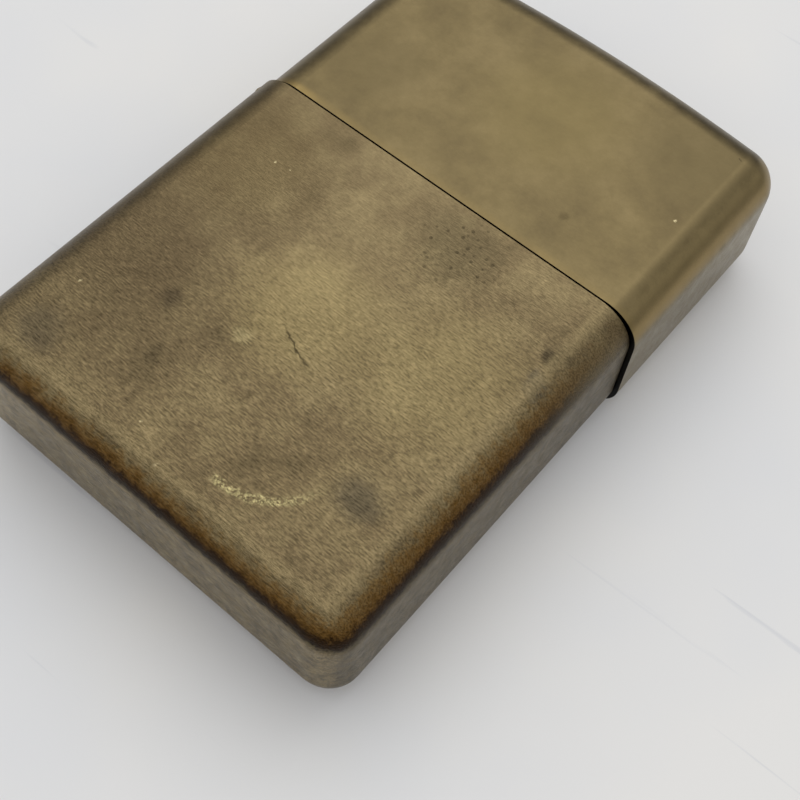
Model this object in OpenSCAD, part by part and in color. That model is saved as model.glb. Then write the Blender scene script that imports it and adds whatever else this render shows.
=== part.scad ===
// Flip-top windproof pocket lighter, lying closed on its back.
// Every piece is drawn standing upright: x across the case with the hinge at -x, y through its
// thickness with the front face at -y, z up from the base. lay() then turns it on its back,
// which puts the origin at the middle of the back face, with +Y towards the lid and +Z up.
// Radii and lengths are in millimetres.

/* [Case and lid] */
// Outside width of the case, without the hinge
case_w = 38.2; // [36:0.2:46]
// Outside thickness of the case, back face to front face
case_t = 12.9; // [12.4:0.1:16]
// Height of the lower can, from the base to the seam
can_h = 34; // [32:0.5:44]
// Height of the lid, from the seam to the crown of its top
lid_h = 22.8; // [21.5:0.2:30]
// Wall of the drawn can and lid
wall = 0.7; // [0.5:0.05:0.85]
// Radius of the four long edges, and of every edge of the lid's top
edge_r = 3.3; // [2.6:0.1:3.9]
// Radius round the base
base_r = 2.7; // [1.4:0.1:3.2]
// Rise of the lid's crowned top, from its ends to its middle
crown = 1.1; // [0.4:0.1:1.4]
// Gap between the can and the lid at the seam
seam = 0.16; // [0.1:0.02:0.3]
// How far the worn hinge lets the lid sit off the can, away from the hinge
lid_play = 0.4; // [0.3:0.05:0.45]

/* [Hinge] */
// Length of the five-knuckle barrel
hinge_len = 6.4; // [6:0.2:7.4]
// Outside radius of the knuckles
knuckle_r = 0.9; // [0.85:0.05:1]
// Radius of the hinge pin
pin_r = 0.45; // [0.35:0.05:0.5]
// How far the pin's axis lies inside the case's side
hinge_in = 0.15; // [0:0.05:0.2]
// Gauge of the two hinge leaves
leaf_t = 0.4; // [0.3:0.05:0.45]
// Length of each leaf along the wall it is welded to
leaf_h = 8; // [6:0.5:10]
// How far the lid leaf's lip reaches from the pin, towards the cam
lip_reach = 3; // [2.6:0.1:3.1]
// Width of that lip
lip_w = 4; // [3:0.2:5]

/* [Insert] */
// Gap between the insert and the hinge leaf beside it
insert_side_gap = 0.45; // [0.3:0.05:0.8]
// Gap between the insert and the case's front and back walls
insert_face_gap = 0.2; // [0.15:0.05:0.4]
// How far the insert's top stands above the seam
insert_rise = 1.2; // [1:0.1:1.2]
// Gauge of the insert's steel sheet
sheet = 0.45; // [0.35:0.05:0.5]
// Radius of the insert's long edges
insert_edge_r = 2.5; // [2:0.1:3]
// Radius round the insert's top
insert_top_r = 0.8; // [0.5:0.1:1.2]

/* [Chimney] */
// Height of the wind guard above the insert's top
chimney_h = 17; // [16:0.5:18]
// Outside width of the wind guard, front to back
chimney_t = 9.3; // [8.6:0.1:9.6]
// Length of its tube along the case
chimney_len = 15.4; // [13.6:0.2:16]
// Outside radius of its upright corners
chimney_r = 3; // [2.4:0.1:3.4]
// Radius of each air hole
air_hole_r = 1.2; // [0.8:0.1:1.3]
// Distance from one row of air holes to the next
air_row = 3.6; // [3:0.1:3.8]
// Distance from one air hole to the next in a row
air_pitch = 3.3; // [2.9:0.1:3.4]
// Numbers of holes in the rows, from the lowest up
air_rows = [3, 2, 3];

/* [Flint wheel] */
// Radius over the teeth
wheel_r = 3.8; // [3.4:0.1:4]
// Depth of the teeth
tooth_d = 0.35; // [0.2:0.05:0.5]
// Number of teeth
teeth = 40; // [30:1:48]
// Width of the toothed rim
wheel_w = 6; // [5:0.2:6.6]
// Radius of the wheel's rivet
axle_r = 0.8; // [0.6:0.05:1]
// Height of the wheel's rivet above the insert's top
wheel_z = 6.4; // [6.2:0.1:6.8]

/* [Cam] */
// Radius of the cam's rivet
cam_pin_r = 0.65; // [0.5:0.05:0.8]
// Distance of the cam's rivet from the hinge pin, along the case
cam_dx = 7.35; // [7.2:0.05:7.8]
// Height of the cam's rivet above the insert's top
cam_z = 3; // [2.9:0.05:3.3]
// Distance from the cam's rivet to each of its two flats
cam_flat = 2.2; // [2:0.05:2.3]
// Angle between the two flats, which is the cam's travel
cam_travel = 50; // [40:1:55]
// Distance from the rivet to the middle of the nose
cam_nose = 4; // [3.6:0.1:4.1]
// Radius of the nose
cam_nose_r = 0.9; // [0.7:0.05:0.9]
// Width of the cam
cam_w = 5; // [4:0.2:6]
// Gauge of the leaf spring under the cam
spring_t = 0.3; // [0.2:0.05:0.3]
// Length of the spring's leg inside the insert
spring_leg = 12; // [9:0.5:13]

/* [Flint feed] */
// Outside radius of the flint tube
tube_r = 1.8; // [1.6:0.05:1.9]
// Bore radius of the flint tube
tube_bore = 1.25; // [1.2:0.05:1.3]
// Radius of the flint
flint_r = 1.15; // [1:0.05:1.15]
// Length of the flint
flint_len = 5; // [3:0.25:5.5]
// Length of the threaded shank of the flint screw
shank_len = 6; // [4:0.5:8]
// Radius of the screw's head
head_r = 2.8; // [2.4:0.1:3]
// Height of the screw's head
head_h = 1.6; // [1.2:0.1:1.6]
// Pitch of the screw's thread
thread_pitch = 0.5; // [0.4:0.05:0.6]
// Wire radius of the flint spring
wire_r = 0.17; // [0.12:0.01:0.18]
// Number of turns in the flint spring
turns = 16; // [12:1:20]

/* [Wick, packing and felt] */
// Radius of the wick
wick_r = 1.6; // [1.2:0.1:1.6]
// Height of the wick above the insert's top
wick_top = 9; // [7:0.5:10]
// Distance between the wick's folds inside the packing
fold = 8; // [7.6:0.1:8.2]
// Thickness of the felt pad
felt_t = 2.4; // [1.8:0.1:2.8]

/* [Hidden] */
$fn = 48;

brass = "#8f7d50";
bright_brass = "#b39a5c";
steel = "#b9bcc0";
dark_steel = "#6d6f73";
cotton = "#eeeae0";

// Free play left in every running fit, on the radius.
play = 0.05;
// Play of a piece that is pressed or peened in place.
snug = 0.02;
// Cut-outs run this far past the wall that they open.
past = 1;
// Two shapes of one piece run this far into each other where they join.
join = 0.1;

case_h = can_h + lid_h;

// The centres of the lid's four top corners lie on a long arc, which the crown runs parallel to.
// Its radius is a whole number of tenths, which keeps the pieces of the lid's top together.
crown_r = round(10 * (pow(case_w / 2, 2) + pow(crown, 2)) / (2 * crown)) / 10;
core_r = crown_r - edge_r;
arch_z = case_h - crown_r;
corner_x = case_w / 2 - edge_r;
corner_y = case_t / 2 - edge_r;
crown_span = asin(corner_x / core_r);
corner_z = arch_z + core_r * cos(crown_span);
band_w = 1;
// The bars at the ends of the lid's top are this much rounder, so that they cross its faces,
// and the crown's ends are tucked into them by this angle.
proud = 0.004;
tuck = 0.03;

// Hinge.
hinge_x = hinge_in - case_w / 2;
hinge_z = can_h;
leaf_x = -case_w / 2 + wall;
knuckles = 5;
knuckle_pitch = hinge_len / knuckles;
knuckle_gap = 0.1;
knuckle_len = knuckle_pitch - knuckle_gap;
notch_gap = 0.25;
notch_depth = 0.2;
leaf_w = min(hinge_len, case_t - 2 * edge_r);
lip_gap = 0.2;
lip_z = insert_rise + lip_gap;

// Insert.
insert_w = case_w - 2 * (wall + leaf_t + insert_side_gap);
insert_t = case_t - 2 * (wall + insert_face_gap);
// The insert's foot stops where the case's round floor edge leaves half its side clearance.
floor_r = base_r - wall;
insert_z = wall + floor_r
    - sqrt(pow(floor_r, 2) - pow(floor_r - insert_face_gap / 2, 2));
top_z = can_h + insert_rise;

// Chimney: its tube runs right from the cam's side, and the wheel stands at its open end.
cam_x = hinge_x + cam_dx;
cam_r = 2.6;
cam_gap = 0.4;
cam_hub_r = 1.5;
cam_arm_r = 1.7;
// The nose points this way at rest, just under the lid leaf's lip.
nose_turn = 197;
tube_left = cam_x + cam_r + cam_gap;
tube_right = tube_left + chimney_len;
wheel_ear_r = 3;
wheel_x = tube_right + wheel_ear_r;
cam_ear_r = 2.8;
curl_z = 10;
end_wall_z = 6.2;
foot = 1.1;
wick_x = (tube_left + tube_right) / 2;
air_low_z = 6.6;
hub_play = 0.1;
hub_w = chimney_t - 2 * (sheet + hub_play);
rivet_head_h = 0.5;
// The top of a rivet's head is this much narrower than its foot.
rivet_dome = 0.6;

// Flint feed, hung under the wheel.
flint_top = top_z + wheel_z - wheel_r - play;
tube_rise = 2;
tube_top = top_z + tube_rise;
felt_recess = 0.4;
felt_z = insert_z + felt_recess;
head_recess = 0.5;
head_z = insert_z + head_recess;
tube_foot = head_z + head_h + 2 * play;
shank_top = head_z + head_h + shank_len;
keeper_z = shank_top + play;
keeper_len = 0.8;
pusher_len = 1.6;
pusher_r = flint_r - 0.05;
pusher_z = flint_top - flint_len - pusher_len;
stub_r = 0.6;
stub_len = 1.5;
coil_room = 0.15;
spring_mid_r = tube_bore - play - wire_r - coil_room;
// The screw's slot, and how much thread rises from its shank.
slot_w = 0.8;
slot_depth = 0.8;
thread_h = 0.12;
thread_start = 0.5;

// Leaf spring under the cam. Its top clears the corner between the cam's two flats.
spring_top = top_z + cam_z - cam_flat / cos(cam_travel / 2) - play;
spring_w = 4.2;
lip_to_spring = 0.35;
spring_x = hinge_x + lip_reach + lip_to_spring;
slot_gap = 0.2;

// Wick: it drops from the chimney and folds between the layers of packing.
fold_gap = 0.5;
fold_left = spring_x + spring_t + fold_gap + wick_r + fold / 2;
fold_shift = 2.7;
fold_right = wick_x + fold_shift;
run_depth = 6.2;
run_top = top_z - run_depth;
drop_r = 3;
drop_step = 3;
wick_steps = 6;
pack_gap = 0.4;
wall_gap = 0.3;
pack_y = insert_t / 2 - sheet - wall_gap;

// Turns the upright drawing on its back.
module lay()
    translate([0, -case_h / 2, case_t / 2])
        rotate([-90, 0, 0])
            children();

// A rectangle about the origin with round corners.
module round_rect(w, h, r) {
    square([w - 2 * r, h], center = true);
    square([w, h - 2 * r], center = true);
    for (x = [-1, 1], y = [-1, 1])
        translate([x * (w / 2 - r), y * (h / 2 - r)]) circle(r);
}

// An upright outline that stands on the x axis, with round bottom corners.
module cup_outline(w, h, r) {
    translate([-w / 2, r]) square([w, h - r]);
    translate([r - w / 2, 0]) square([w - 2 * r, h]);
    for (side = [-1, 1]) translate([side * (w / 2 - r), r]) circle(r);
}

// A solid that stands on z = 0: r rounds its four long edges, and foot_r rounds its foot.
module cup(w, t, h, r, foot_r) {
    rotate([90, 0, 90]) linear_extrude(w - 2 * r, center = true) cup_outline(t, h, foot_r);
    rotate([90, 0, 0]) linear_extrude(t - 2 * r, center = true) cup_outline(w, h, foot_r);
    for (x = [-1, 1], y = [-1, 1])
        translate([x * (w / 2 - r), y * (t / 2 - r), 0])
            rotate_extrude() intersection() {
                cup_outline(2 * r, h, foot_r);
                square([r, h]);
            }
}

module can_solid(inset, floor_z, z1)
    translate([0, 0, floor_z])
        cup(case_w - 2 * inset, case_t - 2 * inset, z1 - floor_z, edge_r - inset, base_r - inset);

// Half profile of the crown, with its front and back edges rounded by r.
module crown_profile(r) {
    translate([core_r - band_w, -corner_y - r]) square([band_w, 2 * (corner_y + r)]);
    translate([core_r - band_w, -corner_y]) square([band_w + r, 2 * corner_y]);
    for (side = [-1, 1])
        intersection() {
            translate([core_r, side * corner_y]) circle(r);
            translate([core_r, side > 0 ? corner_y : -corner_y - r]) square(r);
        }
}

// Half profile of a rounded end of the lid's top, a bar with a ball at each end.
module corner_profile(r)
    intersection() {
        union() {
            translate([0, -corner_y]) square([r, 2 * corner_y]);
            for (side = [-1, 1]) translate([0, side * corner_y]) circle(r);
        }
        translate([0, -corner_y - r]) square([r, 2 * (corner_y + r)]);
    }

// The lid's solid from z0 up, drawn in by inset on every face: a block, a rounded bar along
// each end of its top, and the crown between them.
module lid_solid(inset, z0)
    let (r = edge_r - inset) {
        translate([0, 0, z0]) linear_extrude(corner_z - z0)
            round_rect(2 * (corner_x + r), 2 * (corner_y + r), r);
        for (side = [-1, 1]) translate([side * corner_x, 0, corner_z])
            rotate([90, 0, 0]) rotate(270 - 45 * side) rotate_extrude() corner_profile(r + proud);
        translate([0, 0, arch_z]) rotate([90, 0, 0]) rotate(90 - crown_span - tuck)
            rotate_extrude(angle = 2 * (crown_span + tuck), $fn = 720) crown_profile(r);
    }

// The opening in a side wall that the hinge's knuckles turn in, from z0 to z1.
module hinge_notch(z0, z1)
    translate([-case_w / 2 - past, -hinge_len / 2 - notch_gap, z0])
        cube([past + wall + lid_play + notch_depth, hinge_len + 2 * notch_gap, z1 - z0]);

// A cylinder through the thickness, centred on y.
module across(r, len, x, z)
    translate([x, 0, z]) rotate([90, 0, 0]) cylinder(r = r, h = len, center = true);

module case_can()
    color(brass) difference() {
        can_solid(0, 0, can_h - seam / 2);
        can_solid(wall, wall, can_h + past);
        hinge_notch(can_h - knuckle_r - notch_gap, can_h + past);
    }

module lid()
    color(brass) difference() {
        translate([lid_play, 0, 0]) difference() {
            lid_solid(0, can_h + seam / 2);
            lid_solid(wall, can_h - past);
        }
        hinge_notch(can_h - past, can_h + knuckle_r + notch_gap);
    }

// One leaf: a plate against the wall, and a strap to each of its knuckles. side is -1 for the
// can's leaf and 1 for the lid's, and first is the number of its first knuckle.
module leaf(side, first, plate_x)
    difference() {
        union() {
            translate([plate_x, -leaf_w / 2,
                    side > 0 ? hinge_z + knuckle_r + notch_gap
                             : hinge_z - knuckle_r - notch_gap - leaf_h])
                cube([leaf_t, leaf_w, leaf_h]);
            for (i = [first:2:knuckles - 1])
                translate([0, -hinge_len / 2 + (i + 0.5) * knuckle_pitch, hinge_z]) {
                    across(knuckle_r, knuckle_len, hinge_x, 0);
                    translate([hinge_x, -knuckle_len / 2,
                            side > 0 ? knuckle_r - leaf_t : -knuckle_r])
                        cube([plate_x + leaf_t - hinge_x, knuckle_len, leaf_t]);
                    translate([plate_x, -knuckle_len / 2,
                            side > 0 ? knuckle_r - leaf_t : -knuckle_r - notch_gap])
                        cube([leaf_t, knuckle_len, leaf_t + notch_gap]);
                }
        }
        across(pin_r + play, hinge_len + 2 * past, hinge_x, hinge_z);
    }

module hinge_leaf_can() color(bright_brass) leaf(-1, 0, leaf_x);

module hinge_leaf_lid()
    color(bright_brass) {
        leaf(1, 1, leaf_x + lid_play);
        translate([leaf_x + lid_play, -lip_w / 2, hinge_z + lip_z])
            cube([hinge_x + lip_reach - leaf_x - lid_play, lip_w, leaf_t]);
    }

module hinge_pin() color(steel) across(pin_r, hinge_len, hinge_x, hinge_z);

module insert_solid(inset, z0)
    translate([0, 0, top_z - inset]) mirror([0, 0, 1])
        cup(insert_w - 2 * inset, insert_t - 2 * inset, top_z - inset - z0,
            insert_edge_r - inset, insert_top_r - inset);

module insert_can()
    color(steel) difference() {
        insert_solid(0, insert_z);
        insert_solid(sheet, insert_z - past);
        translate([wick_x, 0, top_z - past]) cylinder(r = wick_r + play, h = 2 * past);
        translate([wheel_x, 0, top_z - past]) cylinder(r = tube_r + snug, h = 2 * past);
        translate([spring_x - slot_gap, -spring_w / 2 - slot_gap, top_z - past])
            cube([spring_t + 2 * slot_gap, spring_w + 2 * slot_gap, 2 * past]);
    }

// Outline of the guard's flat front, seen from the front with z from the insert's top.
module guard_face()
    difference() {
        union() {
            translate([tube_left + chimney_r, 0])
                square([chimney_len - 2 * chimney_r, chimney_h]);
            // ear that carries the cam
            translate([cam_x, 0])
                square([tube_left + chimney_r - cam_x + join, cam_z + cam_ear_r]);
            translate([cam_x - cam_ear_r, 0]) square([cam_ear_r + join, cam_z]);
            translate([cam_x, cam_z]) circle(r = cam_ear_r);
            // ear that carries the wheel
            translate([tube_right - chimney_r - join, 0])
                square([wheel_x - tube_right + chimney_r + join, wheel_z + wheel_ear_r]);
            translate([wheel_x - join, 0]) square([wheel_ear_r + join, wheel_z]);
            translate([wheel_x, wheel_z]) circle(r = wheel_ear_r);
        }
        for (row = [0:len(air_rows) - 1], i = [0:air_rows[row] - 1])
            translate([wick_x + (i - (air_rows[row] - 1) / 2) * air_pitch,
                    air_low_z + row * air_row])
                circle(r = air_hole_r);
        translate([wheel_x, wheel_z]) circle(r = axle_r + snug);
        translate([cam_x, cam_z]) circle(r = cam_pin_r + snug);
    }

// Plan of the guard's rounded tube wall.
module guard_ring()
    translate([wick_x, 0]) difference() {
        round_rect(chimney_len, chimney_t, chimney_r);
        round_rect(chimney_len - 2 * sheet, chimney_t - 2 * sheet, chimney_r - sheet);
    }

module chimney()
    color(steel) translate([0, 0, top_z]) {
        for (side = [-1, 1]) {
            translate([0, side * (chimney_t - sheet) / 2, 0])
                rotate([90, 0, 0]) linear_extrude(sheet, center = true) guard_face();
            // foot that is welded to the insert's top
            translate([tube_left + chimney_r, side > 0 ? chimney_t / 2 - foot : -chimney_t / 2, 0])
                cube([chimney_len - 2 * chimney_r, foot, sheet]);
        }
        // rounded end over the cam
        translate([0, 0, end_wall_z]) linear_extrude(chimney_h - end_wall_z)
            intersection() {
                guard_ring();
                translate([tube_left - past, -chimney_t / 2])
                    square([chimney_r + past, chimney_t]);
            }
        // edges curled in over the wheel, left open between them for the sparks
        translate([0, 0, curl_z]) linear_extrude(chimney_h - curl_z)
            difference() {
                intersection() {
                    guard_ring();
                    translate([tube_right - chimney_r, -chimney_t / 2])
                        square([chimney_r + past, chimney_t]);
                }
                translate([tube_right - past, chimney_r - chimney_t / 2])
                    square([2 * past, chimney_t - 2 * chimney_r]);
            }
    }

// Outline of the toothed rim.
function toothed(r, depth, n) =
    [for (i = [0:2 * n - 1]) (r - (i % 2) * depth) * [cos(180 * i / n), sin(180 * i / n)]];

module flint_wheel()
    color(dark_steel) translate([wheel_x, 0, top_z + wheel_z]) rotate([90, 0, 0])
        difference() {
            union() {
                linear_extrude(wheel_w, center = true) polygon(toothed(wheel_r, tooth_d, teeth));
                cylinder(r = 2 * axle_r, h = hub_w, center = true);
            }
            cylinder(r = axle_r + play, h = hub_w + past, center = true);
        }

// A rivet across the guard, with a low round head at each end.
module rivet(r, head, x, z)
    color(steel) translate([x, 0, z]) rotate([90, 0, 0]) {
        cylinder(r = r, h = chimney_t + 2 * join, center = true);
        for (side = [0, 180]) rotate([side, 0, 0]) translate([0, 0, chimney_t / 2]) {
            cylinder(r = head, h = rivet_head_h / 2);
            translate([0, 0, rivet_head_h / 2])
                cylinder(r1 = head, r2 = rivet_dome * head, h = rivet_head_h / 2);
        }
    }

module wheel_rivet() rivet(axle_r, 2 * axle_r, wheel_x, top_z + wheel_z);

module cam_rivet() rivet(cam_pin_r, 2 * cam_pin_r, cam_x, top_z + cam_z);

// The cam seen from the front: a hub with two flats for the leaf spring, and a nose that
// stands over the lid leaf's lip. It is drawn at rest, with its first flat down.
module cam_face()
    difference() {
        union() {
            circle(r = cam_r);
            hull() {
                circle(r = cam_arm_r, $fn = 32);
                rotate(nose_turn) translate([cam_nose, 0]) circle(r = cam_nose_r, $fn = 32);
            }
        }
        for (turn = [270, 270 + cam_travel])
            rotate(turn) translate([cam_flat, -cam_r - past])
                square([2 * cam_r, 2 * (cam_r + past)]);
    }

module cam()
    color(steel) translate([cam_x, 0, top_z + cam_z]) rotate([90, 0, 0])
        difference() {
            union() {
                linear_extrude(cam_w, center = true) cam_face();
                cylinder(r = cam_hub_r, h = hub_w, center = true);
            }
            cylinder(r = cam_pin_r + play, h = hub_w + past, center = true);
        }

// An L of spring strip: one leg lies under the cam, the other is held inside the insert.
module cam_spring()
    color(dark_steel) translate([spring_x, -spring_w / 2, 0]) {
        translate([0, 0, spring_top - spring_t])
            cube([tube_left - cam_gap - spring_x, spring_w, spring_t]);
        translate([0, 0, spring_top - spring_leg])
            cube([spring_t, spring_w, spring_leg]);
    }

module flint_tube()
    color(bright_brass) translate([wheel_x, 0, tube_foot]) difference() {
        cylinder(r = tube_r, h = tube_top - tube_foot);
        translate([0, 0, -past]) cylinder(r = tube_bore, h = tube_top - tube_foot + 2 * past);
    }

module flint()
    color(dark_steel) translate([wheel_x, 0, flint_top - flint_len])
        cylinder(r = flint_r, h = flint_len);

module flint_pusher()
    color(bright_brass) translate([wheel_x, 0, pusher_z]) {
        cylinder(r = pusher_r, h = pusher_len);
        translate([0, 0, -stub_len]) cylinder(r = stub_r, h = stub_len + join);
    }

// Points along the coil, and the ring of points round the wire at each.
coil_steps = 10;
wire_sides = 6;
coil_low = keeper_z + keeper_len + wire_r + play;
coil_high = pusher_z - wire_r - play;
function coil_ring(i) =
    let (a = 360 * i / coil_steps, z = coil_low + (coil_high - coil_low) * i / (turns * coil_steps))
    [for (k = [0:wire_sides - 1])
        let (b = 360 * k / wire_sides, r = spring_mid_r + wire_r * cos(b))
        [r * cos(a), r * sin(a), z + wire_r * sin(b)]];

// Faces of a tube whose rings of points follow each other, with both ends closed.
function tube_faces(rings, n) = concat(
    [[for (k = [0:n - 1]) k]],
    [for (i = [0:rings - 2], k = [0:n - 1])
        let (a = i * n + k, b = i * n + (k + 1) % n)
        each [[a, a + n, b + n], [a, b + n, b]]],
    [[for (k = [n - 1:-1:0]) (rings - 1) * n + k]]);

module flint_spring()
    color(steel) translate([wheel_x, 0, 0])
        polyhedron(
            [for (i = [0:turns * coil_steps]) each coil_ring(i)],
            tube_faces(turns * coil_steps + 1, wire_sides));

// The plug between the screw and the spring: it moves up and down with the screw.
module spring_keeper()
    color(bright_brass) translate([wheel_x, 0, keeper_z]) {
        cylinder(r = pusher_r, h = keeper_len);
        translate([0, 0, keeper_len - join]) cylinder(r = stub_r, h = stub_len + join);
    }

// Half outline of the thread, from the head to the end of the shank.
function thread_half() =
    let (r = tube_bore - play, root = r - thread_h, z = thread_start,
        n = floor((shank_len - 2 * thread_start) / thread_pitch))
    concat(
        [[0, 0], [root, 0], [root, z]],
        [for (i = [0:n - 1]) each [
            [r, z + (i + 0.3) * thread_pitch], [root, z + (i + 0.9) * thread_pitch]]],
        [[root, shank_len], [0, shank_len]]);

module flint_screw()
    color(bright_brass) translate([wheel_x, 0, head_z]) difference() {
        union() {
            cylinder(r = head_r, h = head_h);
            translate([0, 0, head_h]) rotate_extrude() polygon(thread_half());
        }
        translate([-head_r - past, -slot_w / 2, -past])
            cube([2 * (head_r + past), slot_w, past + slot_depth]);
    }

// Points of an arc about c, from angle a to angle b.
function arc(c, r, a, b, n) =
    [for (i = [0:n]) c + r * [cos(a + (b - a) * i / n), sin(a + (b - a) * i / n)]];

// Centre line of the wick in x and z: down from the chimney, then folded to and fro.
wick_line = concat(
    [for (z = [top_z + wick_top:-drop_step:run_top + drop_r + 1]) [wick_x, z]],
    arc([wick_x - drop_r, run_top + drop_r], drop_r, 0, -90, wick_steps),
    arc([fold_left, run_top - fold / 2], fold / 2, 90, 270, 2 * wick_steps),
    arc([fold_right, run_top - 3 * fold / 2], fold / 2, 90, -90, 2 * wick_steps),
    [[fold_left, run_top - 2 * fold]]);
wick_sides = 12;

// Direction of the line at point i.
function heading(line, i) =
    let (d = line[min(i + 1, len(line) - 1)] - line[max(i - 1, 0)]) d / norm(d);

// A round tube along a line in the xz plane, moved aside by off in the line's own plane and
// by oy through the thickness.
module braid(line, r, sides, off = 0, oy = 0)
    polyhedron(
        [for (i = [0:len(line) - 1])
            let (h = heading(line, i), n = [-h[1], h[0]])
            for (k = [0:sides - 1])
                let (a = 360 * k / sides, p = line[i] + n * (off + r * cos(a)))
                [p[0], oy + r * sin(a), p[1]]],
        tube_faces(len(line), sides));

// The wick leaves a channel along its middle for each of its copper wires.
wire_off = 0.7;
wick_wire_r = 0.2;
module wick()
    color(cotton) difference() {
        braid(wick_line, wick_r, wick_sides);
        for (side = [-1, 1])
            translate([wick_x + side * wire_off, 0, top_z])
                cylinder(r = wick_wire_r + snug, h = wick_top + past);
    }

module wick_wires()
    color("#9a5b33") for (side = [-1, 1])
        translate([wick_x + side * wire_off, 0, top_z + snug])
            cylinder(r = wick_wire_r, h = wick_top - snug);

// A wad of packing between two corners, seen from the front.
wad_r = 2;
module wad(x0, x1, z0, z1)
    translate([(x0 + x1) / 2, 0, (z0 + z1) / 2]) rotate([90, 0, 0])
        linear_extrude(2 * pack_y, center = true)
            round_rect(x1 - x0, z1 - z0,
                min(wad_r, (z1 - z0) / 2 - join, (x1 - x0) / 2 - join));

pack_low = felt_z + felt_t + lip_gap;
pack_high = top_z - sheet - pack_gap;
pack_left = spring_x + spring_t + wall_gap;
pack_mid = wheel_x - tube_r - wall_gap;
pack_right = insert_w / 2 - insert_edge_r + 0.5;
// A wad between two runs of the wick reaches this far into the bend beyond their middle.
bend_reach = 1.4;
module cotton_packing()
    color(cotton) {
        clear = wick_r + pack_gap;
        // over the first run, each side of the wick's drop
        wad(pack_left, wick_x - clear - wall_gap, run_top + clear, pack_high);
        wad(wick_x + clear, pack_mid, run_top - fold + clear, pack_high);
        // between the runs
        wad(fold_left - bend_reach, wick_x + clear - pack_gap,
            run_top - fold + clear, run_top - clear);
        wad(pack_left, fold_right + bend_reach,
            run_top - 2 * fold + clear, run_top - fold - clear);
        // under the last run
        wad(pack_left, pack_mid, pack_low, run_top - 2 * fold - clear);
        // beyond the flint tube
        split = (pack_low + pack_high) / 2;
        wad(wheel_x + tube_r + wall_gap, pack_right, pack_low, split - pack_gap / 2);
        wad(wheel_x + tube_r + wall_gap, pack_right, split + pack_gap / 2, pack_high);
    }

pad_gap = 0.2;
module felt_pad()
    color("#d9d5c9") translate([0, 0, felt_z]) difference() {
        linear_extrude(felt_t)
            round_rect(insert_w - 2 * (sheet + pad_gap), insert_t - 2 * (sheet + pad_gap),
                insert_edge_r - sheet - pad_gap);
        translate([wheel_x, 0, -past]) cylinder(r = head_r + wall_gap, h = felt_t + 2 * past);
    }

lay() case_can();
lay() lid();
lay() hinge_leaf_can();
lay() hinge_leaf_lid();
lay() hinge_pin();
lay() insert_can();
lay() chimney();
lay() flint_wheel();
lay() wheel_rivet();
lay() cam();
lay() cam_rivet();
lay() cam_spring();
lay() flint_tube();
lay() flint();
lay() flint_pusher();
lay() flint_spring();
lay() spring_keeper();
lay() flint_screw();
lay() wick();
lay() wick_wires();
lay() cotton_packing();
lay() felt_pad();
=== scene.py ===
import math

import bmesh
import bpy
from mathutils import Matrix, Quaternion, Vector, noise


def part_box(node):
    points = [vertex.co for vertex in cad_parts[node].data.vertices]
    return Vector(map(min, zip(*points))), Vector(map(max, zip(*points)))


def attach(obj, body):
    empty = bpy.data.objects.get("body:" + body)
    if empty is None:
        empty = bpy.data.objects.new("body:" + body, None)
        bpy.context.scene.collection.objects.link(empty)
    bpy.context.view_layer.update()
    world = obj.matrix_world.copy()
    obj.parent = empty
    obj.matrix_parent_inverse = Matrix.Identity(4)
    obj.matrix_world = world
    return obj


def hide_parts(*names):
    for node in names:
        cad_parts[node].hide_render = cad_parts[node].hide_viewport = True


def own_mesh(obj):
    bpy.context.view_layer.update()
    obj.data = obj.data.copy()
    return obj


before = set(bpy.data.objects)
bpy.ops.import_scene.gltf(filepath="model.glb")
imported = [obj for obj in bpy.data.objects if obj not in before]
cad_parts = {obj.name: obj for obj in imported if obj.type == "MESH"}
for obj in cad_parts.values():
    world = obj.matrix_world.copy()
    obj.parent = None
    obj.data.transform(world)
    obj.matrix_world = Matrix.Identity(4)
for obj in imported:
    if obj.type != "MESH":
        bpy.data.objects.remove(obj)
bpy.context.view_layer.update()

MM = 0.001
TO_MM = (1000, 1000, 1000)  # a Mapping node with this scale gives a pattern its places in millimetres

# Places on the case, in millimetres. It lies on its back, with the lid's top toward +Y.
can_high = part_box("case_can")[1] / MM
lid_low, lid_high = (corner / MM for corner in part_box("lid"))
FRONT = can_high.z
MIDDLE = FRONT / 2
SEAM = (can_high.y + lid_low.y) / 2
LID_SHIFT = (lid_low.x + lid_high.x) / 2
EDGE_R = 3.3  # the radius of the case's long edges
CORNER_X = can_high.x - EDGE_R
CORNER_Z = MIDDLE - EDGE_R

# Settings that many nodes share.
SOFT = {"interpolation_type": "SMOOTHSTEP"}
LAYER = {"data_type": "RGBA", "out": 2}


# ---------------------------------------------------------------- camera, floor and light

def place_camera():
    """A close camera above the base and the free side, turned a little about its own axis."""
    azimuth, elevation, roll = (math.radians(angle) for angle in (35.35, 60.38, 5.53))
    distance = 92.43 * MM
    aim = Vector((10.01, -11.12, FRONT)) * MM
    back = Vector((
        math.sin(azimuth) * math.cos(elevation),
        -math.cos(azimuth) * math.cos(elevation),
        math.sin(elevation),
    ))
    camera = bpy.data.objects.new("camera", bpy.data.cameras.new("camera"))
    bpy.context.scene.collection.objects.link(camera)
    camera.rotation_mode = "QUATERNION"
    camera.rotation_quaternion = (-back).to_track_quat("-Z", "Y") @ Quaternion((0, 0, 1), roll)
    camera.location = aim + back * distance
    camera.data.lens = 58.35
    camera.data.sensor_width = 36
    camera.data.clip_start = 0.001
    camera.data.clip_end = 20
    bpy.context.scene.camera = camera


def srgb(colour):
    """A colour written as sRGB hex, as the linear colour the shaders work in."""
    channels = [int(colour[i:i + 2], 16) / 255 for i in (1, 3, 5)]
    return [c / 12.92 if c <= 0.04045 else ((c + 0.055) / 1.055) ** 2.4 for c in channels] + [1]


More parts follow.
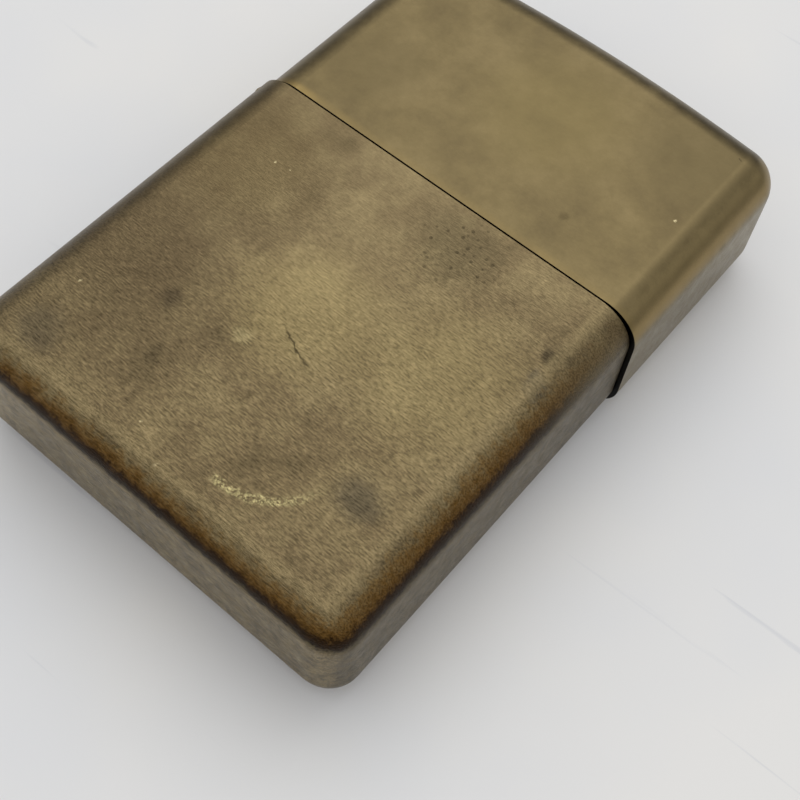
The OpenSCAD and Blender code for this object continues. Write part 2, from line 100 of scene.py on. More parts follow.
def add(tree, kind, inputs=None, out=0, stops=None, **settings):
    """Adds a node with its settings, sets or links its inputs, and gives back one output."""
    node = tree.nodes.new("ShaderNode" + kind)
    for name, value in settings.items():
        setattr(node, name, value)
    if stops:
        ramp = node.color_ramp
        while len(ramp.elements) < len(stops):
            ramp.elements.new(0.5)
        for element, (place, colour) in zip(ramp.elements, stops):
            element.position = place
            element.color = srgb(colour)
    for key, value in (inputs or {}).items():
        if isinstance(value, bpy.types.NodeSocket):
            tree.links.new(value, node.inputs[key])
        else:
            node.inputs[key].default_value = srgb(value) if isinstance(value, str) else value
    return node.outputs[out] if node.outputs else None


def light_studio():
    """A ceiling that is bright overhead and darker toward the horizon, and one broad soft lamp
    beyond the lid's top, on the hinge side."""
    world = bpy.data.worlds.new("studio")
    world.use_nodes = True
    tree = world.node_tree
    tree.nodes.clear()
    direction = add(tree, "TexCoord", out="Generated")
    height = add(tree, "SeparateXYZ", {0: direction}, out=2)
    glow = add(tree, "ValToRGB", {0: height}, stops=[
        (0.0, "#8a8a8a"), (0.25, "#9e9e9e"), (0.45, "#cacaca"), (0.62, "#ebebeb"), (1.0, "#f5f5f5"),
    ])
    sky = add(tree, "Background", {0: glow, 1: 1.0})
    add(tree, "OutputWorld", {0: sky})
    bpy.context.scene.world = world

    lamp = bpy.data.objects.new("lamp", bpy.data.lights.new("lamp", "AREA"))
    bpy.context.scene.collection.objects.link(lamp)
    lamp.data.shape = "DISK"
    lamp.data.size = 0.9
    lamp.data.energy = 2.1
    lamp.location = (-0.24, 0.42, 0.84)
    lamp.rotation_mode = "QUATERNION"
    lamp.rotation_quaternion = (-lamp.location).to_track_quat("-Z", "Y")
    bpy.context.scene.view_settings.view_transform = "Standard"


def new_material(name):
    """An empty material, its node tree, and the place on the piece in millimetres that its
    patterns read, so that a pattern's Scale is how many of its cells a millimetre holds."""
    material = bpy.data.materials.new(name)
    material.use_nodes = True
    tree = material.node_tree
    tree.nodes.clear()
    place = add(tree, "TexCoord", out="Object")
    return material, tree, add(tree, "Mapping", {"Vector": place, "Scale": TO_MM})


def shade(tree, inputs):
    """The shader and the output of a material."""
    add(tree, "OutputMaterial", {0: add(tree, "BsdfPrincipled", inputs)})


def matt_board():
    """Painted board, rolled matt: pale and nearly even, with faint rubbed marks."""
    material, tree, mm = new_material("matt_board")
    cloud = add(tree, "TexNoise", {"Vector": mm, "Scale": 0.03, "Detail": 3})
    tone = add(tree, "ValToRGB", {0: cloud}, stops=[(0.35, "#e2e3e5"), (0.65, "#e9e8e6")])
    # Rubs 2 mm wide and 30 mm long.
    rub = add(tree, "Mapping", {"Vector": mm, "Rotation": (0, 0, 0.5), "Scale": (0.03, 0.5, 1)})
    rubs = add(tree, "TexNoise", {"Vector": rub, "Scale": 1, "Detail": 4, "Distortion": 0.6})
    faint = add(tree, "MapRange", {0: rubs, 1: 0.66, 2: 0.72, 4: 0.5})
    colour = add(tree, "Mix", {0: faint, 6: tone, 7: "#cfd1d6"}, **LAYER)
    shade(tree, {"Base Color": colour, "Roughness": 0.62})
    return material


def lay_floor():
    """A wide floor just under the case."""
    mesh = bpy.data.meshes.new("floor")
    bm = bmesh.new()
    bmesh.ops.create_grid(bm, x_segments=1, y_segments=1, size=2)
    bmesh.ops.translate(bm, verts=bm.verts, vec=(0, 0, -0.02 * MM))
    bm.to_mesh(mesh)
    bm.free()
    floor = bpy.data.objects.new("floor", mesh)
    bpy.context.scene.collection.objects.link(floor)
    mesh.materials.append(matt_board())


# ---------------------------------------------------------------- the brass of the can and lid

def ragged_places(tree, mm):
    """The place shifted by noise, to give marks ragged outlines: by up to 1.7 mm for patches, and
    by up to 0.4 mm for nicks and scratches."""
    places = []
    for scale, reach in ((0.35, 3.5), (2.5, 0.8)):
        shift = add(tree, "TexNoise", {"Vector": mm, "Scale": scale, "Detail": 5, "Roughness": 0.65}, out=1)
        shift = add(tree, "VectorMath", {0: shift, 1: (0.5, 0.5, 0.5)}, operation="SUBTRACT")
        places.append(add(tree, "VectorMath", {0: shift, 1: (reach, reach, 0), 2: mm},
                          operation="MULTIPLY_ADD"))
    return places


def marked(tree, tone, patchy, nicked, marks):
    """Lays soft-edged spots on the front. Each mark is its place across and along the case, its
    radius, its colour and how much it covers."""
    widest_nick = 0.8
    for across, along, radius, colour, amount in marks:
        place = patchy if radius > widest_nick else nicked
        away = add(tree, "VectorMath", {0: place, 1: (across, along, FRONT)}, out="Value",
                   operation="DISTANCE")
        cover = add(tree, "MapRange", {0: away, 1: radius, 2: radius * 0.25, 4: amount}, **SOFT)
        tone = add(tree, "Mix", {0: cover, 6: tone, 7: colour}, **LAYER)
    return tone


def brushed_grain(tree, mm, x, y, flat, patch, grain):
    """Brushed lines about 0.1 mm apart, coarser than the real ones so that they show, with a
    speckle on them. They are strongest toward the base and weakest beside the hinge."""
    brushed = add(tree, "Mapping", {"Vector": mm, "Scale": (1.5, 9, 9)})
    streaks = add(tree, "TexNoise", {"Vector": brushed, "Scale": 1, "Detail": 3, "Roughness": 0.7})
    speckle = add(tree, "TexNoise", {"Vector": mm, "Scale": 6, "Detail": 4, "Roughness": 0.9})
    lines = add(tree, "Math", {0: speckle, 1: 0.6, 2: streaks}, operation="MULTIPLY_ADD")
    lines = add(tree, "MapRange", {0: lines, 1: 0.62, 2: 0.98, 3: -0.5, 4: 0.5})
    lean = add(tree, "Math", {0: y, 1: -1, 2: 6}, operation="MULTIPLY_ADD")
    lean = add(tree, "Math", {0: x, 1: 0.6, 2: lean}, operation="MULTIPLY_ADD")
    lean = add(tree, "Math", {0: patch, 1: 14, 2: lean}, operation="MULTIPLY_ADD")
    front = add(tree, "MapRange", {0: lean, 1: 0, 2: 30, 3: 0.3 * grain, 4: grain}, **SOFT)
    sides = add(tree, "MapRange", {0: flat, 1: 0.95, 2: 0.6, 4: 0.8 * grain}, **SOFT)
    strength = add(tree, "Math", {0: front, 1: sides}, operation="MAXIMUM")
    return add(tree, "Math", {0: lines, 1: strength}, operation="MULTIPLY")


def pitted(tree, tone, mm, patchy):
    """A cluster of corrosion pits 0.3 mm across below the seam; gives their depth as well."""
    cells = add(tree, "TexVoronoi", {"Vector": mm, "Scale": 1.5, "Randomness": 1})
    pit = add(tree, "MapRange", {0: cells, 1: 0.3, 2: 0.12}, **SOFT)
    away = add(tree, "VectorMath", {0: patchy, 1: (4.6, 2.2, FRONT)}, out="Value", operation="DISTANCE")
    near = add(tree, "MapRange", {0: away, 1: 4.8, 2: 2.2}, **SOFT)
    pit = add(tree, "Math", {0: pit, 1: near}, operation="MULTIPLY")
    cover = add(tree, "Math", {0: pit, 1: 0.7}, operation="MULTIPLY")
    return add(tree, "Mix", {0: cover, 6: tone, 7: "#3f3727"}, **LAYER), pit


def scratched(tree, tone, nicked):
    """One dark, slightly bent scratch; gives its depth as well."""
    length = 4.6
    turn = (0, 0, math.radians(-21))
    run = add(tree, "Mapping", {"Vector": nicked, "Location": (-0.3, -11.9, 0), "Rotation": turn},
              vector_type="TEXTURE")
    u, v = (add(tree, "SeparateXYZ", {0: run}, out=axis) for axis in (0, 1))
    bend = add(tree, "Math", {0: u, 1: length}, operation="SUBTRACT")
    bend = add(tree, "Math", {0: u, 1: bend}, operation="MULTIPLY")
    bend = add(tree, "Math", {0: bend, 1: 0.05}, operation="MULTIPLY")
    off = add(tree, "Math", {0: v, 1: bend}, operation="SUBTRACT")
    off = add(tree, "Math", {0: off}, operation="ABSOLUTE")
    scratch = add(tree, "MapRange", {0: off, 1: 0.11, 2: 0.03}, **SOFT)
    begins = add(tree, "MapRange", {0: u, 1: 0, 2: 0.8}, **SOFT)
    ends = add(tree, "MapRange", {0: u, 1: length, 2: 3}, **SOFT)
    within = add(tree, "Math", {0: begins, 1: ends}, operation="MULTIPLY")
    scratch = add(tree, "Math", {0: scratch, 1: within}, operation="MULTIPLY")
    cover = add(tree, "Math", {0: scratch, 1: 0.7}, operation="MULTIPLY")
    return add(tree, "Mix", {0: cover, 6: tone, 7: "#3b3222"}, **LAYER), scratch


def ring_marked(tree, tone, mm, nicked, x, y):
    """A crumbly pale arc, part of a wet ring 12 mm across that dried on the brass; gives its
    height as well."""
    radius = 6.05
    away = add(tree, "VectorMath", {0: nicked, 1: (4.9, -18.2, FRONT)}, out="Value", operation="DISTANCE")
    off = add(tree, "Math", {0: away, 1: radius}, operation="SUBTRACT")
    off = add(tree, "Math", {0: off}, operation="ABSOLUTE")
    ring = add(tree, "MapRange", {0: off, 1: 0.5, 2: 0.15}, **SOFT)
    crumbs = add(tree, "TexNoise", {"Vector": mm, "Scale": 2.2, "Detail": 4, "Roughness": 0.8})
    crumbs = add(tree, "Math", {0: crumbs, 1: 0.5}, operation="SUBTRACT")
    crumbs = add(tree, "Math", {0: crumbs}, operation="ABSOLUTE")
    crumbs = add(tree, "MapRange", {0: crumbs, 1: 0.07, 2: 0.02}, **SOFT)
    ring = add(tree, "Math", {0: ring, 1: crumbs}, operation="MULTIPLY")
    free_side = add(tree, "MapRange", {0: x, 1: 4, 2: 4.8}, **SOFT)
    base_side = add(tree, "MapRange", {0: y, 1: -19, 2: -23.8}, **SOFT)
    part = add(tree, "Math", {0: free_side, 1: base_side}, operation="MULTIPLY")
    ring = add(tree, "Math", {0: ring, 1: part}, operation="MULTIPLY")
    cover = add(tree, "Math", {0: ring, 1: 0.9}, operation="MULTIPLY")
    return add(tree, "Mix", {0: cover, 6: tone, 7: "#bfb280"}, **LAYER), ring


def worn_and_shaded_edge(tree, tone, ragged, wander, flat, toward, y, edge_tones, edge_reach):
    """The worn edge, coloured by how far the surface has turned from the front to the side: wear and tarnish,
    with painted shade in its near-black tones.
    edge_reach is how much of it shows beside the seam and toward the base."""
    turn = add(tree, "Math", {0: ragged, 1: 0.5}, operation="SUBTRACT")
    turn = add(tree, "Math", {0: turn, 1: wander, 2: flat}, operation="MULTIPLY_ADD")
    begins = add(tree, "MapRange", {0: turn, 1: 0.97, 2: 0.78}, **SOFT)
    ends = add(tree, "MapRange", {0: turn, 1: 0.12, 2: 0.34}, **SOFT)
    seen = add(tree, "MapRange", {0: toward, 1: 0.2, 2: 0.4}, **SOFT)
    reach = add(tree, "MapRange", {0: y, 1: 6.5, 2: -9, 3: edge_reach[0], 4: edge_reach[1]}, **SOFT)
    band = add(tree, "Math", {0: begins, 1: ends}, operation="MULTIPLY")
    band = add(tree, "Math", {0: band, 1: seen}, operation="MULTIPLY")
    band = add(tree, "Math", {0: band, 1: reach}, operation="MULTIPLY")
    # The darkest edge tones are painted shade.
    brown = add(tree, "ValToRGB", {0: turn}, stops=edge_tones)
    return add(tree, "Mix", {0: band, 6: tone, 7: brown}, **LAYER)


def dull_inside(tree, tone, mm, cloud, outward, shift):
    """Dull brown on the inner faces. How far a place lies outside the corners' centres tells an
    inner face from an outer one."""
    corner = add(tree, "VectorMath", {0: mm, 1: (shift, 0, MIDDLE)}, operation="SUBTRACT")
    corner = add(tree, "VectorMath", {0: corner}, operation="ABSOLUTE")
    corner = add(tree, "VectorMath", {0: corner, 1: (CORNER_X, 1000, CORNER_Z)}, operation="SUBTRACT")
    corner = add(tree, "VectorMath", {0: corner, 1: (0, 0, 0)}, operation="MAXIMUM")
    depth = add(tree, "VectorMath", {0: corner}, out="Value", operation="LENGTH")
    within = add(tree, "MapRange", {0: depth, 1: EDGE_R - 0.3, 2: EDGE_R - 0.4}, **SOFT)
    not_end = add(tree, "MapRange", {0: outward, 1: 0.4, 2: 0.3}, **SOFT)
    inner = add(tree, "Math", {0: within, 1: not_end}, operation="MULTIPLY")
    dull = add(tree, "ValToRGB", {0: cloud}, stops=[(0.35, "#5b4c33"), (0.6, "#85724b")])
    return add(tree, "Mix", {0: inner, 6: tone, 7: dull}, **LAYER)


def shaded_rim(tree, tone, y, outward):
    """The rims that meet at the seam, painted nearly black: painted shade from the narrow gap between lid and
    can.
    """
    near = add(tree, "Math", {0: y, 1: SEAM}, operation="SUBTRACT")
    near = add(tree, "Math", {0: near}, operation="ABSOLUTE")
    near = add(tree, "MapRange", {0: near, 1: 0.3, 2: 0.2}, **SOFT)
    rim = add(tree, "MapRange", {0: outward, 1: -0.8, 2: -0.95}, **SOFT)
    # Painted shade: the rim faces beside the seam are painted black.
    painted_shade = add(tree, "Math", {0: rim, 1: near}, operation="MULTIPLY")
    return add(tree, "Mix", {0: painted_shade, 6: tone, 7: "#0d0a07"}, **LAYER)


def aged_brass(name, tones, grain, side_tones, edge_tones, edge_reach, marks, is_lid):
    """Drawn brass, brushed across its width and left to tarnish: olive and gold clouds under a
    fine grain, worn and painted with shade along its edges, greyer on its sides and dull brown inside."""
    material, tree, mm = new_material(name)
    normal = add(tree, "TexCoord", out="Normal")
    x, y = (add(tree, "SeparateXYZ", {0: mm}, out=axis) for axis in (0, 1))
    nx, ny, nz = (add(tree, "SeparateXYZ", {0: normal}, out=axis) for axis in range(3))
    flat = add(tree, "Math", {0: nz}, operation="ABSOLUTE")
    outward = add(tree, "Math", {0: ny, 1: 1 if is_lid else -1}, operation="MULTIPLY")

    # Tarnish clouds about 6 mm across, with spots of about 1 mm in them.
    cloud = add(tree, "TexNoise", {"Vector": mm, "Scale": 0.17, "Detail": 7, "Roughness": 0.68})
    tone = add(tree, "ValToRGB", {0: cloud}, stops=tones)
    spots = add(tree, "TexNoise", {"Vector": mm, "Scale": 0.9, "Detail": 6, "Roughness": 0.72})
    light = add(tree, "MapRange", {0: spots, 1: 0.32, 2: 0.68, 3: 0.88, 4: 1.08}, **SOFT)
    tone = add(tree, "VectorMath", {0: tone, "Scale": light}, operation="SCALE")

    patchy, nicked = ragged_places(tree, mm)
    tone = marked(tree, tone, patchy, nicked, marks)
    patch = add(tree, "TexNoise", {"Vector": mm, "Scale": 0.1, "Detail": 2})
    lines = brushed_grain(tree, mm, x, y, flat, patch, grain)
    relief = lines
    if not is_lid:
        tone, pit = pitted(tree, tone, mm, patchy)
        tone, scratch = scratched(tree, tone, nicked)
        tone, ring = ring_marked(tree, tone, mm, nicked, x, y)
        dug = add(tree, "Math", {0: pit, 1: 1.2, 2: scratch}, operation="MULTIPLY_ADD")
        relief = add(tree, "Math", {0: relief, 1: ring}, operation="ADD")
        relief = add(tree, "Math", {0: relief, 1: dug}, operation="SUBTRACT")

    # Painted highlight: the free side and the base side of the front are painted paler just before they turn
    # over.
    baseward = add(tree, "Math", {0: ny, 1: -1}, operation="MULTIPLY")
    toward = add(tree, "Math", {0: nx, 1: baseward}, operation="MAXIMUM")
    turning = add(tree, "MapRange", {0: toward, 1: 0.03, 2: 0.14}, **SOFT)
    still_flat = add(tree, "MapRange", {0: flat, 1: 0.9, 2: 0.97}, **SOFT)
    pale = add(tree, "Math", {0: turning, 1: still_flat}, operation="MULTIPLY")
    pale = add(tree, "Math", {0: pale, 1: 0.6}, operation="MULTIPLY")
    tone = add(tree, "Mix", {0: pale, 6: tone, 7: tones[-1][1]}, **LAYER)

    # The sides are filmed with grey, and the base is lighter than the others: painted light on the base face.
    ragged = add(tree, "TexNoise", {"Vector": mm, "Scale": 1, "Detail": 9, "Roughness": 0.85})
    film_and_painted_light = add(tree, "ValToRGB", {0: ragged}, stops=side_tones)
    light = add(tree, "MapRange", {0: ny, 1: -0.5, 2: -0.9, 3: 1, 4: 1.6}, **SOFT)
    film_and_painted_light = add(tree, "VectorMath", {0: film_and_painted_light, "Scale": light}, operation="SCALE")
    side = add(tree, "MapRange", {0: flat, 1: 0.5, 2: 0.2}, **SOFT)
    tone = add(tree, "Mix", {0: side, 6: tone, 7: film_and_painted_light}, **LAYER)
    tone = worn_and_shaded_edge(tree, tone, ragged, 0.2 if is_lid else 0.9, flat, toward, y, edge_tones, edge_reach)

    light = add(tree, "Math", {0: lines, 1: 1}, operation="ADD")
    tone = add(tree, "VectorMath", {0: tone, "Scale": light}, operation="SCALE")
    tone = dull_inside(tree, tone, mm, cloud, outward, LID_SHIFT if is_lid else 0)
    tone = shaded_rim(tree, tone, y, outward)

    if is_lid:
        # A strip beside the seam that the thumb has rubbed to bright gold.
        near = add(tree, "MapRange", {0: y, 1: SEAM + 1, 2: SEAM + 0.15}, **SOFT)
        uneven = add(tree, "MapRange", {0: patch, 1: 0.4, 2: 0.6, 3: 0.15, 4: 0.7}, **SOFT)
        rubbed = add(tree, "Math", {0: near, 1: uneven}, operation="MULTIPLY")
        rubbed = add(tree, "Math", {0: rubbed, 1: flat}, operation="MULTIPLY")
        tone = add(tree, "Mix", {0: rubbed, 6: tone, 7: "#8f7a4c"}, **LAYER)

    rough = add(tree, "MapRange", {0: spots, 1: 0.3, 2: 0.7, 3: 0.28, 4: 0.42})
    dents = add(tree, "TexNoise", {"Vector": mm, "Scale": 0.25, "Detail": 3})
    height = add(tree, "Math", {0: dents, 1: 1.5, 2: relief}, operation="MULTIPLY_ADD")
    bump = add(tree, "Bump", {"Height": height, "Strength": 0.5, "Distance": 0.03 * MM})
    shade(tree, {"Base Color": tone, "Metallic": 1.0, "Roughness": rough, "Normal": bump})
    return material


def can_brass():
    """The lower can, which has lain in a pocket: brown toward the hinge, pale where it is rubbed,
    spotted with grey, and dark brown along its edges, partly with painted shade."""
    return aged_brass(
        "aged_brushed_brass",
        tones=[(0.3, "#5f533c"), (0.44, "#6e6046"), (0.56, "#786a4d"), (0.7, "#857656")],
        grain=1.0,
        side_tones=[(0.36, "#40371f"), (0.5, "#655940"), (0.64, "#7b6d4e")],
        # Nearly black before the side, which is painted shade, and amber where the front begins to turn over.
        edge_tones=[
            (0.2, "#1e1408"), (0.5, "#2f1f0d"), (0.66, "#674c25"), (0.83, "#77613e"), (0.95, "#7d6c49")],
        edge_reach=(0.12, 1.0),
        marks=[
            (-14, -2, 10, "#54472f", 0.5),        # browner along the hinge
            (-13, -15, 12, "#574a36", 0.6),
            (0, -10, 8, "#90815a", 0.55),         # paler worn patches
            (11, -8, 9, "#887a55", 0.5),
            (-2.3, -14.6, 1.3, "#9c8f68", 0.5),
            (4.5, 2, 4.8, "#574d38", 0.55),       # the dull patch round the pits
            (13, -18.9, 2.8, "#4b4437", 0.7),     # grey smudges
            (-13.5, -24, 2.8, "#4b4336", 0.55),
            (-8, -15.7, 1.4, "#40372a", 0.6),
            (-6, -20, 1.2, "#463d2c", 0.5),
            (16.1, -0.7, 1.3, "#302a20", 0.75),
            (16.8, -3.6, 1.6, "#4c4940", 0.6),
            (-11.3, -1.2, 0.16, "#c9bb90", 0.7),  # bright nicks
            (-9.9, -1, 0.13, "#c9bb90", 0.7),
            (-14.3, -19.1, 0.16, "#c9bb90", 0.7),
            (0.7, -26.2, 0.2, "#d0c298", 0.7),
            (-2.4, -24.5, 0.14, "#c9bb90", 0.6),
        ],
        is_lid=False)


def lid_brass():
    """The lid, rubbed smooth by the thumb that opens it: evener, more golden and hardly brushed."""
    return aged_brass(
        "aged_smooth_brass",
        tones=[(0.3, "#61553c"), (0.5, "#6d6043"), (0.7, "#786a4b")],
        grain=0.16,
        side_tones=[(0.36, "#6d6044"), (0.64, "#8a7d60")],
        edge_tones=[(0.2, "#8a7852"), (0.5, "#9c875c"), (0.8, "#8f7e58")],
        edge_reach=(0.8, 0.8),
        marks=[
            (2, 18, 9, "#766945", 0.4),           # clouds of tarnish
            (14, 22, 7, "#5f543b", 0.5),
            (15.7, 15.6, 0.15, "#d0c298", 0.7),   # a bright nick and a dark one
            (9, 10, 0.6, "#4b412d", 0.5),
            (-12, 12, 6, "#5f543b", 0.4),         # duller toward the hinge
        ],
        is_lid=True)


# ---------------------------------------------------------------- the other finishes

def plain_metal(name, tones, grain, roughness, stain, stained):
    """Sheet, wire or turned metal: one tone with a fine tool grain and a few duller stains.
    grain is how many grain marks a millimetre holds along each axis."""
    material, tree, mm = new_material(name)
    tooled = add(tree, "Mapping", {"Vector": mm, "Scale": grain})
    streaks = add(tree, "TexNoise", {"Vector": tooled, "Scale": 1, "Detail": 4, "Roughness": 0.6})
    tone = add(tree, "ValToRGB", {0: streaks}, stops=[(0.3, tones[0]), (0.7, tones[1])])
    # Stains about 3 mm across.
    cloud = add(tree, "TexNoise", {"Vector": mm, "Scale": 0.35, "Detail": 5, "Roughness": 0.7})
    dull = add(tree, "MapRange", {0: cloud, 1: 0.48, 2: 0.7, 4: stained}, **SOFT)
    tone = add(tree, "Mix", {0: dull, 6: tone, 7: stain}, **LAYER)
    rough = add(tree, "MapRange", {0: cloud, 1: 0.3, 2: 0.7, 3: roughness, 4: roughness + 0.15})
    bump = add(tree, "Bump", {"Height": streaks, "Strength": 0.25, "Distance": 0.01 * MM})
    shade(tree, {"Base Color": tone, "Metallic": 1.0, "Roughness": rough, "Normal": bump})
    return material


def sooted_steel():
    """Stamped steel sheet, heat-stained straw to brown and black with soot toward its mouth."""
    material, tree, mm = new_material("sooted_steel")
    y = add(tree, "SeparateXYZ", {0: mm}, out=1)
    rolled = add(tree, "Mapping", {"Vector": mm, "Scale": (6, 0.5, 6)})
    streaks = add(tree, "TexNoise", {"Vector": rolled, "Scale": 1, "Detail": 4})
    tone = add(tree, "ValToRGB", {0: streaks}, stops=[(0.3, "#8b8a86"), (0.7, "#b9b7b1")])
    # The stain's front wanders in clouds 2 mm across.
    cloud = add(tree, "TexNoise", {"Vector": mm, "Scale": 0.5, "Detail": 6, "Roughness": 0.7})
    up = add(tree, "Math", {0: cloud, 1: 9, 2: y}, operation="MULTIPLY_ADD")
    heat = add(tree, "MapRange", {0: up, 1: 14, 2: 26}, **SOFT)
    tone = add(tree, "Mix", {0: heat, 6: tone, 7: "#7a664a"}, **LAYER)
    black = add(tree, "MapRange", {0: up, 1: 22, 2: 30, 4: 0.9}, **SOFT)
    tone = add(tree, "Mix", {0: black, 6: tone, 7: "#17130f"}, **LAYER)
    metal = add(tree, "MapRange", {0: black, 3: 1, 4: 0.2})
    rough = add(tree, "MapRange", {0: black, 3: 0.3, 4: 0.75})
    bump = add(tree, "Bump", {"Height": streaks, "Strength": 0.25, "Distance": 0.01 * MM})
    shade(tree, {"Base Color": tone, "Metallic": metal, "Roughness": rough, "Normal": bump})
    return material


def ferrocerium():
    """Pressed ferrocerium: dark grey, coarse and hardly shining, with a grit of 0.2 mm."""
    material, tree, mm = new_material("ferrocerium")
    grit = add(tree, "TexNoise", {"Vector": mm, "Scale": 6, "Detail": 5, "Roughness": 0.8})
    tone = add(tree, "ValToRGB", {0: grit}, stops=[(0.35, "#2b2825"), (0.65, "#5a554f")])
    bump = add(tree, "Bump", {"Height": grit, "Strength": 0.8, "Distance": 0.05 * MM})
    shade(tree, {"Base Color": tone, "Metallic": 0.6, "Roughness": 0.6, "Normal": bump})
    return material


def cotton(name, pale, deep, charred_from=None):
    """Cotton or wool: soft, dull and off-white, with fibres crossing 0.2 mm apart, coarser than
    the real ones so that they show. A wick is charred from charred_from, in mm along Y, up."""
    material, tree, mm = new_material(name)
    hair = add(tree, "TexNoise", {"Vector": mm, "Scale": 5, "Detail": 6, "Roughness": 0.8, "Distortion": 1.5})
    tone = add(tree, "ValToRGB", {0: hair}, stops=[(0.35, deep), (0.65, pale)])
    if charred_from is not None:
        y = add(tree, "SeparateXYZ", {0: mm}, out=1)
        up = add(tree, "Math", {0: hair, 1: 1.5, 2: y}, operation="MULTIPLY_ADD")
        char = add(tree, "MapRange", {0: up, 1: charred_from, 2: charred_from + 2.5}, **SOFT)
        tone = add(tree, "Mix", {0: char, 6: tone, 7: "#17120e"}, **LAYER)
    bump = add(tree, "Bump", {"Height": hair, "Strength": 0.9, "Distance": 0.15 * MM})
    shade(tree, {
        "Base Color": tone, "Roughness": 0.92, "Specular IOR Level": 0.2,
        "Sheen Weight": 0.4, "Sheen Roughness": 0.5, "Normal": bump})
    return material


# ---------------------------------------------------------------- pieces

def piece(name, mesh, body, material, replaced, smooth=True):
    """Makes an object of a mesh, dresses it, and puts it on its body in place of a CAD node."""
    made = bpy.data.objects.new(name, mesh)
    bpy.context.scene.collection.objects.link(made)
    mesh.materials.clear()
    mesh.materials.append(material)
    for face in mesh.polygons:
        face.use_smooth = smooth
    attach(made, body)
    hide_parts(replaced)
    return made


def mesh_of(bm, name):
    """Closes a bmesh into a mesh with its faces outward."""
    bmesh.ops.remove_doubles(bm, verts=bm.verts, dist=0.001 * MM)
    bmesh.ops.recalc_face_normals(bm, faces=bm.faces)
    mesh = bpy.data.meshes.new(name)
    bm.to_mesh(mesh)
    bm.free()
    return mesh


def finished(holder):
    """The mesh that an object's modifiers or bevel give, with the object itself removed."""
    bpy.context.scene.collection.objects.link(holder)
    mesh = bpy.data.meshes.new_from_object(holder.evaluated_get(bpy.context.evaluated_depsgraph_get()))
    bpy.data.objects.remove(holder)
    return mesh


def grown_ring(bm, ring, centre, scale=1.0, rise=0.0, turn=0.0):
    """Extrudes a closed ring of edges, then scales, lifts and turns it about a Z axis at centre."""
    made = bmesh.ops.extrude_edge_only(bm, edges=ring)["geom"]
    verts = [g for g in made if isinstance(g, bmesh.types.BMVert)]
    fresh = set(verts)
    about = Matrix.Translation(-centre)
    bmesh.ops.scale(bm, verts=verts, vec=(scale, scale, 1), space=about)
    bmesh.ops.rotate(bm, verts=verts, cent=centre, matrix=Matrix.Rotation(turn, 3, "Z"))
    bmesh.ops.translate(bm, verts=verts, vec=(0, 0, rise))
    return [g for g in made if isinstance(g, bmesh.types.BMEdge) and set(g.verts) <= fresh]


def spoke_to(vert, centre):
    """The way from a Z axis at centre straight out to a vertex."""
    return Vector((vert.co.x - centre.x, vert.co.y - centre.y, 0))


def cut_teeth(ring, centre, per_tooth, deep):
    """Turns a round ring into teeth: a crest, and two points in the gullet behind it."""
    order = sorted({v for e in ring for v in e.verts},
                   key=lambda v: math.atan2(v.co.y - centre.y, v.co.x - centre.x))
    for i, v in enumerate(order):
        if i % per_tooth:
            v.co -= spoke_to(v, centre).normalized() * deep * (1 if i % per_tooth == 1 else 0.55)


def cut_wheel():
    """The flint wheel: two bands of slanted teeth that mirror each other across a groove, and a
    plain hub at each side."""
    low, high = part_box("flint_wheel")
    centre = (low + high) / 2
    centre.z = low.z
    teeth, per_tooth, tooth_deep = 44, 3, 0.42 * MM
    radius, hub_radius, bore = (high.x - low.x) / 2, 1.6 * MM, 0.84 * MM
    inner = radius - 0.5 * MM
    hub, band, groove, lean = 1.1 * MM, 2.6 * MM, 0.8 * MM, math.radians(11)
    slope, steps = 0.1 * MM, 3
    bm = bmesh.new()
    bmesh.ops.create_circle(bm, segments=teeth * per_tooth, radius=bore, matrix=Matrix.Translation(centre))
    start = list(bm.edges)
    ring = grown_ring(bm, start, centre, scale=hub_radius / bore)
    ring = grown_ring(bm, ring, centre, rise=hub)
    ring = grown_ring(bm, ring, centre, scale=inner / hub_radius)
    for way in (1, -1):
        ring = grown_ring(bm, ring, centre, scale=radius / inner, rise=slope)
        cut_teeth(ring, centre, per_tooth, tooth_deep)
        for _ in range(steps):
            ring = grown_ring(bm, ring, centre, rise=band / steps, turn=way * lean / steps)
        ring = grown_ring(bm, ring, centre, rise=slope)
        for v in {v for e in ring for v in e.verts}:
            spoke = spoke_to(v, centre)
            v.co -= spoke - spoke.normalized() * inner
        if way > 0:
            ring = grown_ring(bm, ring, centre, rise=groove - 2 * slope)
    ring = grown_ring(bm, ring, centre, scale=hub_radius / inner)
    top = high.z - max(v.co.z for e in ring for v in e.verts)
    ring = grown_ring(bm, ring, centre, rise=top)
    ring = grown_ring(bm, ring, centre, scale=bore / hub_radius)
    bmesh.ops.bridge_loops(bm, edges=start + ring)
    return piece("striking_wheel", mesh_of(bm, "striking_wheel"), "wheel",
                 HARDENED_STEEL, "flint_wheel", smooth=False)


def coiled_spring():
    """The flint spring, wound from 0.34 mm wire, with a closed turn at each end."""
    low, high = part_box("flint_spring")
    wire = 0.17 * MM
    middle = (low + high) / 2
    coil = (high.x - low.x) / 2 - wire
    length = high.y - low.y - 2 * wire
    turns, steps, closed = 14, 24, 2 * wire * 1.05
    bm = bmesh.new()
    at = Matrix.Translation((middle.x + coil, low.y + wire, middle.z))
    made = bmesh.ops.create_circle(bm, segments=8, radius=wire, matrix=at)["verts"]
    ends = made + list({e for v in made for e in v.link_edges})
    for count, rise in ((1, closed), (turns, length - 2 * closed), (1, closed)):
        ends = bmesh.ops.spin(
            bm, geom=ends, cent=middle, axis=(0, 1, 0), dvec=(0, rise / (count * steps), 0),
            angle=2 * math.pi * count, steps=count * steps)["geom_last"]
    bmesh.ops.holes_fill(bm, edges=[e for e in bm.edges if e.is_boundary])
    spring = piece("coiled_spring", mesh_of(bm, "coiled_spring"), "case",
                   SPRING_STEEL, "flint_spring")
    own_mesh(spring)


WICK_STEP = 0.25  # from each point of the wick's centre line to the next, in mm


